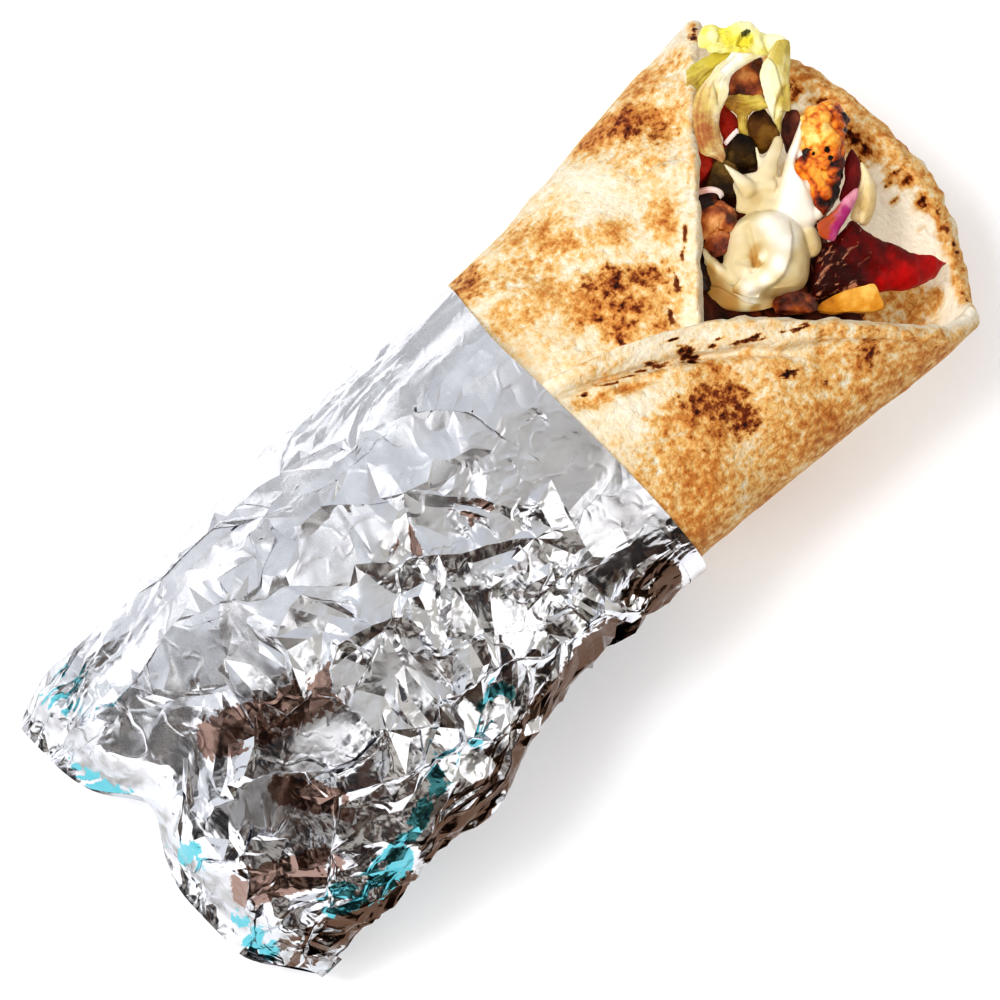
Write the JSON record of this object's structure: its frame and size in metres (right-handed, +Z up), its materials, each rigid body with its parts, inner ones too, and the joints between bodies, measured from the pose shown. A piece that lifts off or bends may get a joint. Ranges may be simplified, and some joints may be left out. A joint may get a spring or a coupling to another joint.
{
  "type": "turkey shawarma",
  "caption": "Rolled flatbread with turkey, vegetables and garlic sauce at its open end, the other end wrapped in crumpled foil.",
  "frame": {"origin": "middle of the underside's bounding rectangle, on the surface that the wrap lies on", "axes": "+X along the roll to the open end, +Y to its left, +Z up"},
  "size_m": [0.2094, 0.0866, 0.0497],
  "materials": {
    "bread": "baked, matt, with toasted patches",
    "foil": "bright, crumpled",
    "garlic_sauce": "thick and glossy",
    "turkey": "grilled, moist",
    "lettuce": "thin, slightly shiny",
    "tomato": "wet",
    "pickle": "wet",
    "red_onion": "wet",
    "white_onion": "wet, a little clear",
    "red_pepper": "glossy skin",
    "yellow_pepper": "glossy skin",
    "filling": "dark, moist"
  },
  "bodies": {
    "root": {"flatbread": "bread", "foil_wrap": "foil", "turkey_strip": "turkey", "garlic_sauce": "garlic_sauce", "onion_strip_pink": "red_onion", "onion_slice_dark": "red_onion", "onion_petal_white": "white_onion", "red_pepper_strip": "red_pepper", "yellow_pepper": "yellow_pepper", "lettuce_crown": "lettuce", "lettuce_strand_left": "lettuce", "lettuce_strand_right": "lettuce", "tomato_slice_upper": "tomato", "tomato_slice_lower": "tomato", "onion_sliver": "red_onion", "pickle_upper": "pickle", "pickle_middle": "pickle", "pickle_lower": "pickle", "onion_slice_brown": "red_onion", "turkey_curl": "turkey", "lettuce_leaf_low": "lettuce", "lettuce_leaf_inner": "lettuce", "filling_core": "filling"}
  },
  "joints": []
}
